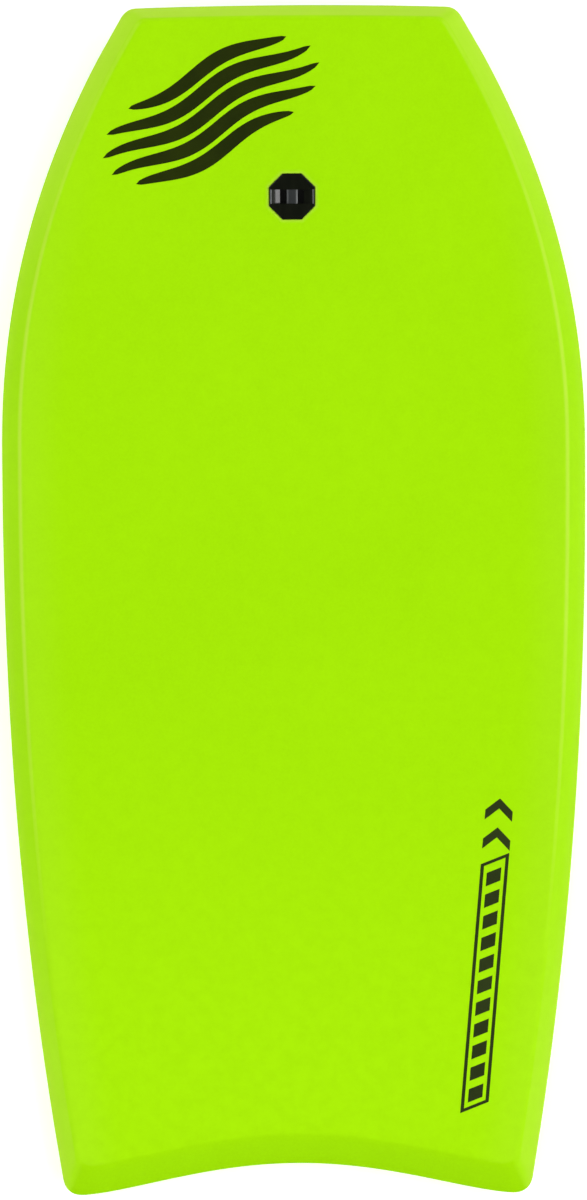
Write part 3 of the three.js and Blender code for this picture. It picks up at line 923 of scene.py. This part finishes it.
def rail_strip(name, node, section, start, end):
    """One strip of the lower rail between two outline steps, with its ends eased and a glue gap apart."""
    near = np.linalg.norm(across_rail(section, start + 1)[0] - across_rail(section, start)[0])
    far = np.linalg.norm(across_rail(section, end)[0] - across_rail(section, end - 1)[0])
    first = start + GLUE_GAP / 2 / near
    last = end - GLUE_GAP / 2 / far
    eased_first = first + END_EASE / near
    eased_last = last - END_EASE / far
    inner = range(math.floor(eased_first) + 1, math.ceil(eased_last))
    loops = [across_rail(section, step) for step in (first, eased_first, *inner, eased_last, last)]
    for end_loop in (loops[0], loops[-1]):
        end_loop += (end_loop.mean(0) - end_loop) * END_SHRINK
    obj = mesh_object(name, [band(loops), polygon_cap(loops[0]), polygon_cap(loops[-1])])
    return finish_piece(obj, "board", node, foam_of_rails)


def rails():
    section = rail_section()
    nose, tail = step_at(NOSE_JOINT_Y), step_at(TAIL_JOINT_Y)
    turn = 2 * STEPS
    rail_strip("right_rail_foam", "rail_right", section, nose, tail)
    rail_strip("tail_bumper_foam", "tail_bumper", section, tail, turn - tail)
    rail_strip("left_rail_foam", "rail_left", section, turn - tail, turn - nose)
    rail_strip("nose_bumper_foam", "nose_bumper", section, turn - nose, turn + nose)


def bead_core():
    top_z = above(skin_under_z, -GLUE_GAP)
    outer = [
        ring(RAIL_FOOT + RAIL_SHIFT + GLUE_GAP, rail_foot_z),
        ring(RAIL_SHIFT + GLUE_GAP, apex_z),
        ring(SKIN_SHIFT + GLUE_GAP, apex_z),
        ring(INNER_DECK + GLUE_GAP, top_z),
    ]
    well = [
        plug_circle(HOLE_RADIUS, -SKIN, top_z),
        at_plug(circle_loop(HOLE_RADIUS, BASE_RECESS_TOP)),
        at_plug(circle_loop(BASE_RECESS_RADIUS, BASE_RECESS_TOP)),
        plug_circle(BASE_RECESS_RADIUS, PLUG_BOTTOM, rail_foot_z),
    ]
    top = fill(outer[-1], top_z, HIDDEN_SPACING, hole=well[0])
    under = fill(outer[0], rail_foot_z, HIDDEN_SPACING, hole=well[-1])
    obj = mesh_object("bead_foam_core", [band(outer), top, band(well), under])
    return finish_piece(obj, "board", "core", bead_foam())


def slick_sheet_piece():
    top_z = above(bottom_z, SLICK)
    edge = [
        (LOWER_BEVEL + SLICK_ROUND * (1 - math.sin(a)), above(bottom_z, SLICK_ROUND * (1 - math.cos(a))))
        for a in np.linspace(0, math.pi / 2, LIP_STEPS)
    ]
    outer = [ring(*pair) for pair in (*edge, (LOWER_BEVEL * (1 - SLICK / LOWER_RISE), top_z))]
    hole = [
        plug_circle(BASE_RECESS_RADIUS + SLICK_EASE, PLUG_BOTTOM, bottom_z),
        plug_circle(BASE_RECESS_RADIUS, PLUG_BOTTOM, above(bottom_z, SLICK_EASE)),
        plug_circle(BASE_RECESS_RADIUS, PLUG_BOTTOM, top_z),
    ]
    top = fill(outer[-1], top_z, HIDDEN_SPACING, hole=hole[-1])
    under = fill(outer[0], bottom_z, HIDDEN_SPACING, hole=hole[0])
    obj = mesh_object("slick_sheet", [band(outer), top, band(hole), under])
    return finish_piece(obj, "board", "slick_bottom", slick_plastic())


# ---------------------------------------------------------------- leash plug

def revolved(rows, capped=True):
    """Surface of revolution from rows of (radius, z, wave): the wave makes the wall follow the thread."""
    angle = 2 * math.pi * np.arange(ROUND_STEPS) / ROUND_STEPS
    loops = []
    for radius, z, wave in rows:
        r = radius + wave * np.cos(2 * math.pi * z / PITCH - angle)
        height = np.full(ROUND_STEPS, z)
        loops.append(at_plug(np.column_stack([r * np.cos(angle), r * np.sin(angle), height])))
    caps = [disc_cap(loops[0]), disc_cap(loops[-1])] if capped else []
    return [band(loops), *caps]


def plain_rows(points, ease):
    """Rows of a profile of (radius, z), with every corner but its two ends rounded."""
    rows = [(*points[0], 0)]
    for before, corner, after in zip(points, points[1:], points[2:]):
        before, corner, after = (np.array(p, float) for p in (before, corner, after))
        start = corner + (before - corner) / np.linalg.norm(before - corner) * ease
        end = corner + (after - corner) / np.linalg.norm(after - corner) * ease
        rows += [(*p, 0) for p in quadratic(start, corner, end, EASE_STEPS)]
    return [*rows, (*points[-1], 0)]


def thread_rows(radius, low, high):
    count = round((high - low) / PITCH * ROWS_PER_PITCH)
    return [(radius, low + (high - low) * i / count, THREAD_WAVE) for i in range(count + 1)]


def prism(name, section, axis, low, high):
    """Straight solid of the plug's frame: a section of (a, b) points drawn out along X, Y or Z."""
    loops = [at_plug([np.insert(point, axis, level) for point in section]) for level in (low, high)]
    return mesh_object(name, [band(loops), polygon_cap(loops[0]), polygon_cap(loops[1])])


def combine(obj, other, operation):
    modifier = obj.modifiers.new(operation, "BOOLEAN")
    modifier.operation = operation
    modifier.solver = "EXACT"
    modifier.object = other
    apply_modifiers(obj)
    bpy.data.objects.remove(other)


def bevel_edges(obj, width):
    modifier = obj.modifiers.new("bevel", "BEVEL")
    modifier.width = width
    modifier.segments = EASE_SEGMENTS
    modifier.limit_method = "ANGLE"
    modifier.angle_limit = EASE_ANGLE
    apply_modifiers(obj)


def apply_modifiers(obj):
    graph = bpy.context.evaluated_depsgraph_get()
    obj.data = bpy.data.meshes.new_from_object(obj.evaluated_get(graph))
    obj.modifiers.clear()


def flatten_normals(obj):
    """Keeps large faces flat in the shading beside the small faces of a rounded edge."""
    modifier = obj.modifiers.new("normals", "WEIGHTED_NORMAL")
    modifier.keep_sharp = True
    apply_modifiers(obj)


def clean(obj):
    bm = bmesh.new()
    bm.from_mesh(obj.data)
    bmesh.ops.remove_doubles(bm, verts=bm.verts, dist=WELD)
    bmesh.ops.dissolve_degenerate(bm, edges=bm.edges, dist=WELD)
    shade(bm, SHARP_ANGLE)
    bm.to_mesh(obj.data)
    bm.free()


def leash_slot():
    """Cutter for the string's slot: a deep middle, then a ramp in three slopes and a facet at each end."""
    x, z = POCKET_HALF_LENGTH, POCKET_RAMP_BOTTOM
    half = [(x, POCKET_FLOOR), (x, z)]
    for tilt in RAMP_TILTS:
        x += RAMP_STEP
        z += RAMP_STEP * math.tan(tilt)
        half.append((x, z))
    half.append((POCKET_MOUTH_HALF_LENGTH - MOUTH_FACET, FLANGE_TOP - MOUTH_FACET * MOUTH_SLOPE))
    half.append((POCKET_MOUTH_HALF_LENGTH + CUT_PAST / MOUTH_SLOPE, FLANGE_TOP + CUT_PAST))
    section = [*half, *[(-x, z) for x, z in reversed(half)]]
    return prism("slot_cutter", section, 1, -POCKET_WIDTH / 2, POCKET_WIDTH / 2)


def slot_bar():
    """Bar across the middle of the slot: crowned and chamfered on top, and let into the slot's walls."""
    radius = (BAR_HALF_WIDTH - BAR_FACET) / math.sin(BAR_CROWN)
    crown = [
        (radius * math.sin(a), BAR_TOP - radius * (1 - math.cos(a)))
        for a in np.linspace(BAR_CROWN, -BAR_CROWN, BAR_STEPS)
    ]
    shoulder = crown[0][1] - BAR_FACET * math.tan(BAR_FACET_TILT)
    section = [
        (-BAR_HALF_WIDTH, shoulder), (-BAR_HALF_WIDTH, BAR_BOTTOM),
        (BAR_HALF_WIDTH, BAR_BOTTOM), (BAR_HALF_WIDTH, shoulder), *crown,
    ]
    reach = POCKET_WIDTH / 2 + BAR_LET_IN
    return prism("bar", section, 1, -reach, reach)


def plug_cap():
    loops = [at_plug(loop) for loop in (
        circle_loop(BARREL_RADIUS, BARREL_BOTTOM),
        circle_loop(BARREL_RADIUS, FLANGE_BOTTOM),
        octagon_loop(FLANGE_FLATS, FLANGE_BOTTOM),
        octagon_loop(FLANGE_FLATS, FLANGE_TOP - FLANGE_CHAMFER),
        octagon_loop(FLANGE_FLATS - 2 * FLANGE_CHAMFER, FLANGE_TOP),
    )]
    obj = mesh_object("plug_cap", [band(loops), disc_cap(loops[0]), disc_cap(loops[-1])])
    combine(obj, leash_slot(), "DIFFERENCE")
    combine(obj, slot_bar(), "UNION")
    clean(obj)
    bevel_edges(obj, PLASTIC_EASE)
    socket = thread_rows(THREAD_RADIUS + THREAD_CLEARANCE, SOCKET_THREAD_END, SOCKET_TOP)
    counterbore = [
        (COUNTERBORE_RADIUS, BARREL_BOTTOM - CUT_PAST, 0),
        (COUNTERBORE_RADIUS, SOCKET_THREAD_END + CUT_OVERLAP, 0),
    ]
    for rows in (socket, counterbore):
        combine(obj, mesh_object("bore_cutter", revolved(rows)), "DIFFERENCE")
    clean(obj)
    flatten_normals(obj)
    finish_piece(obj, "board", "leash_plug_cap", plug_plastic)
    mark_bar_top_and_highlights(obj)


def mark_bar_top_and_highlights(obj):
    """Gives the bar's top its duller finish, and the edges that the string runs over, at the slot's mouth and
    on the bar's facets, a pale grey that is a painted highlight.
    """
    obj.data.materials.append(dull_plastic)
    obj.data.materials.append(painted_highlight_plastic)
    to_plug = plug_matrix.inverted()
    for face in obj.data.polygons:
        x, y, z = to_plug @ face.center
        tilt = (to_plug.to_3x3() @ face.normal).x
        if abs(y) > POCKET_WIDTH / 2:
            continue
        inward = -tilt if x > 0 else tilt
        # The pale grey on these edges is a painted highlight, standing in for light glinting off the black
        # plastic.
        if abs(x) > POCKET_MOUTH_HALF_LENGTH - MOUTH_FACET and inward > math.sin(HIGHLIGHT_TILT):
            face.material_index = PAINTED_HIGHLIGHT_FINISH
        elif abs(x) < BAR_HALF_WIDTH + BAR_TOP_REACH and z > BAR_TOP - BAR_TOP_REACH:
            beyond_crown = tilt > math.sin(BAR_CROWN + CROWN_MARGIN)
            face.material_index = PAINTED_HIGHLIGHT_FINISH if beyond_crown else DULL_FINISH


def plug_base():
    bore_floor = PLUG_BOTTOM + STEM_BORE_FLOOR
    foot = plain_rows([
        (HUB_RADIUS, PLUG_BOTTOM),
        (BASE_RADIUS, PLUG_BOTTOM),
        (BASE_RADIUS, BASE_TOP),
        (STEM_RADIUS, BASE_TOP),
        (STEM_RADIUS, STEM_THREAD_END - STEM_RELIEF),
    ], BASE_EASE)
    mouth = plain_rows([
        (THREAD_RADIUS - LEAD_IN_LOW, STEM_TOP - LEAD_IN_HEIGHT),
        (THREAD_RADIUS - LEAD_IN_HIGH, STEM_TOP),
        (STEM_BORE_RADIUS, STEM_TOP),
        (STEM_BORE_RADIUS, bore_floor),
        (HUB_RADIUS, bore_floor),
    ], PLASTIC_EASE)
    thread = thread_rows(THREAD_RADIUS, STEM_THREAD_END, STEM_TOP - THREAD_RUN_OUT)
    obj = mesh_object("plug_base", revolved([*foot, *thread, *mouth]))
    length, width, depth = COIN_SLOT
    corners = [(x * length / 2, y * width / 2) for x, y in ((-1, -1), (1, -1), (1, 1), (-1, 1))]
    cutter = prism("coin_slot_cutter", corners, 2, PLUG_BOTTOM - depth, PLUG_BOTTOM + depth)
    bevel_edges(cutter, PLASTIC_EASE)
    combine(obj, cutter, "DIFFERENCE")
    clean(obj)
    return finish_piece(obj, "plug_base", "leash_plug_base", plug_plastic)


def washer(name, inner, outer, low, high, body, node):
    middle = (low + high) / 2
    section = [(inner, middle), (inner, low), (outer, low), (outer, high), (inner, high), (inner, middle)]
    obj = mesh_object(name, revolved(plain_rows(section, WASHER_EASE), capped=False))
    return finish_piece(obj, body, node, rubber)


def washers():
    washer(
        "cap_washer", HOLE_RADIUS, CAP_GASKET_RADIUS, CAP_RECESS_FLOOR + GLUE_GAP,
        FLANGE_BOTTOM - GLUE_GAP, "board", "cap_gasket",
    )
    washer(
        "base_washer", BASE_GASKET_HOLE_RADIUS, BASE_GASKET_RADIUS, BASE_TOP + GLUE_GAP,
        BASE_RECESS_TOP - GLUE_GAP, "plug_washer", "base_gasket",
    )


# ---------------------------------------------------------------- deck prints

def ink_patches(outline_loop, hole=None):
    """A thin closed film of ink on the deck over a plan region."""
    patches = []
    for height in (above(deck_z, INK_TOP), above(deck_z, INK_UNDER)):
        patches.append(fill(outline_loop, height, INK_SPACING, hole=hole))
    for loop in (outline_loop, hole):
        if loop is not None:
            x, y = np.asarray(loop).T
            walls = [np.column_stack([x, y, deck_z(x, y) + lift]) for lift in (INK_TOP, INK_UNDER)]
            patches.append(band(walls))
    return patches


def turned(points, angle, centre):
    """Plan points turned anticlockwise and moved to their centre."""
    c, s = math.cos(angle), math.sin(angle)
    return np.asarray(points) @ np.array([[c, s], [-s, c]]) + centre


def wave_stripe(offset):
    """Outline of one tapered stripe that runs along a slow wave, as long as an oval is at that offset."""
    t = np.linspace(0, 1, WAVE_STEPS + 1)
    half_length = WAVES_HALF_LENGTH * math.sqrt(1 - (offset / WAVES_HALF_WIDTH) ** 2)
    along = (2 * t - 1) * half_length + offset * WAVE_SHEAR
    middle = offset + WAVE_HEIGHT * np.sin(2 * math.pi * along / WAVE_LENGTH)
    half = WAVE_WIDTH / 2 * np.sin(math.pi * t) ** WAVE_TAPER
    upper = np.column_stack([along, middle + half])
    lower = np.column_stack([along, middle - half])[-2:0:-1]
    return np.vstack([upper, lower])


def wave_print():
    patches = []
    for offset in WAVE_OFFSETS:
        patches += ink_patches(turned(wave_stripe(offset), WAVES_TURN, WAVES_CENTRE))
    obj = mesh_object("wave_print", patches)
    return finish_piece(obj, "board", None, wave_ink)


def densely(corners, spacing=8 * MM):
    """A closed outline with points no further apart than the spacing."""
    corners = np.asarray(corners, float)
    points = []
    for a, b in zip(corners, np.roll(corners, -1, axis=0)):
        count = math.ceil(np.linalg.norm(b - a) / spacing)
        points += [a + (b - a) * i / count for i in range(count)]
    return np.array(points)


def slanted(low, high, half, slant):
    """Corners of an upright strip between two levels whose ends slant up to the right."""
    return [(-half, low - slant), (half, low + slant), (half, high + slant), (-half, high - slant)]


def stripe_bar_print():
    """Slim frame filled with slanted dashes, and two chevrons beyond it."""
    def place(corners):
        return turned(densely(corners), -BAR_TURN, BAR_FOOT)

    slant = BAR_PRINT_HALF * BAR_SLANT
    frame_inner = BAR_PRINT_HALF - BAR_LINE
    patches = ink_patches(
        place(slanted(0, BAR_PRINT_LENGTH, BAR_PRINT_HALF, slant)),
        hole=place(slanted(BAR_LINE, BAR_PRINT_LENGTH - BAR_LINE, frame_inner, frame_inner * BAR_SLANT)),
    )
    dash_half = frame_inner - BAR_LINE
    pitch = (BAR_PRINT_LENGTH - 2 * BAR_LINE - BAR_END_GAP) / DASHES
    for i in range(DASHES):
        low = BAR_LINE + BAR_END_GAP + i * pitch
        high = low + pitch * DASH_SHARE
        patches += ink_patches(place(slanted(low, high, dash_half, dash_half * BAR_SLANT)))
    for i in range(CHEVRONS):
        low = BAR_PRINT_LENGTH + CHEVRON_GAP + i * CHEVRON_PITCH
        corners = [
            (-CHEVRON_HALF, low), (0, low + CHEVRON_RISE), (CHEVRON_HALF, low),
            (CHEVRON_HALF, low + CHEVRON_WIDTH), (0, low + CHEVRON_RISE + CHEVRON_WIDTH),
            (-CHEVRON_HALF, low + CHEVRON_WIDTH),
        ]
        patches += ink_patches(place(corners))
    obj = mesh_object("stripe_bar_print", patches)
    return finish_piece(obj, "board", None, bar_ink)


# ---------------------------------------------------------------- stage, light and camera

def floor():
    half = FLOOR_HALF
    points = [(x, y, -FLOOR_DROP) for x, y in ((-half, -half), (half, -half), (half, half), (-half, half))]
    obj = mesh_object("floor", [(np.array(points, float), [(0, 1, 2, 3)])])
    obj.data.materials.append(plain_floor())


def studio_sky():
    """Even white light all round and more from high up, with dark patches above and to three sides."""
    world = bpy.data.worlds.new("studio")
    bpy.context.scene.world = world
    world.use_nodes = True
    tree = world.node_tree
    tree.nodes.clear()
    place = tree.nodes.new("ShaderNodeTexCoord").outputs["Generated"]

    def cap_of_sky(direction, inner, outer, outside, inside):
        """Strength that changes from outside to inside over a round cap of the sky."""
        toward = tree.nodes.new("ShaderNodeVectorMath")
        toward.operation = "DOT_PRODUCT"
        toward.inputs[1].default_value = direction
        tree.links.new(place, toward.inputs[0])
        ramp = tree.nodes.new("ShaderNodeMapRange")
        ramp.interpolation_type = "SMOOTHSTEP"
        ramp.inputs["From Min"].default_value = math.cos(outer)
        ramp.inputs["From Max"].default_value = math.cos(inner)
        ramp.inputs["To Min"].default_value = outside
        ramp.inputs["To Max"].default_value = inside
        tree.links.new(toward.outputs["Value"], ramp.inputs["Value"])
        return ramp.outputs["Result"]

    strength = cap_of_sky(*HIGH_LIGHT)
    for patch in DARK_PATCHES:
        product = tree.nodes.new("ShaderNodeMath")
        product.operation = "MULTIPLY"
        tree.links.new(strength, product.inputs[0])
        tree.links.new(cap_of_sky(*patch), product.inputs[1])
        strength = product.outputs[0]
    background = tree.nodes.new("ShaderNodeBackground")
    output = tree.nodes.new("ShaderNodeOutputWorld")
    tree.links.new(strength, background.inputs["Strength"])
    tree.links.new(background.outputs[0], output.inputs["Surface"])


def softbox(name, place, size, watts):
    """Square area light that faces the middle of the board and isn't itself seen."""
    data = bpy.data.lights.new(name, "AREA")
    data.size = size
    data.energy = watts
    obj = bpy.data.objects.new(name, data)
    bpy.context.scene.collection.objects.link(obj)
    obj.location = place
    obj.rotation_euler = (-Vector(place)).to_track_quat("-Z", "Y").to_euler()
    obj.visible_camera = False


def camera():
    data = bpy.data.cameras.new("camera")
    data.sensor_width = SENSOR_WIDTH
    data.lens = SENSOR_WIDTH * CAMERA_HEIGHT / FRAME_LENGTH
    data.clip_end = CLIP_END
    obj = bpy.data.objects.new("camera", data)
    bpy.context.scene.collection.objects.link(obj)
    obj.location = (FRAME_CENTRE[0], FRAME_CENTRE[1], CAMERA_HEIGHT + apex_z(0, 0))
    obj.rotation_euler = (0, 0, FRAME_TURN)
    bpy.context.scene.camera = obj


camera()
studio_sky()
softbox("right_softbox", SOFTBOX_PLACE, SOFTBOX_SIZE, SOFTBOX_WATTS)
bpy.context.scene.view_settings.view_transform = "Standard"

foam_of_deck = skin_foam("deck_skin_foam", LIME, LIME_PALE, LIME_DEEP)
foam_of_rails = skin_foam("rail_skin_foam", LIME, LIME_PALE, LIME_DEEP)
plug_plastic = moulded_plastic("moulded_plastic", BLACK, BLACK_FLOW, 0.07, 0.14)
dull_plastic = moulded_plastic("dull_plastic", DULL, DULL_FLOW, 0.28, 0.36)
# Painted highlight: a pale grey plastic for the edges where light glints.
painted_highlight_plastic = moulded_plastic("painted_highlight_plastic", PAINTED_HIGHLIGHT_GREY, PAINTED_HIGHLIGHT_FLOW, 0.25, 0.4)
rubber = gasket_rubber()
wave_ink = screen_ink("wave_ink", *WAVE_INK)
bar_ink = screen_ink("bar_ink", *BAR_INK)

floor()
bead_core()
deck_foam()
rails()
slick_sheet_piece()
plug_cap()
plug_base()
washers()
wave_print()
stripe_bar_print()
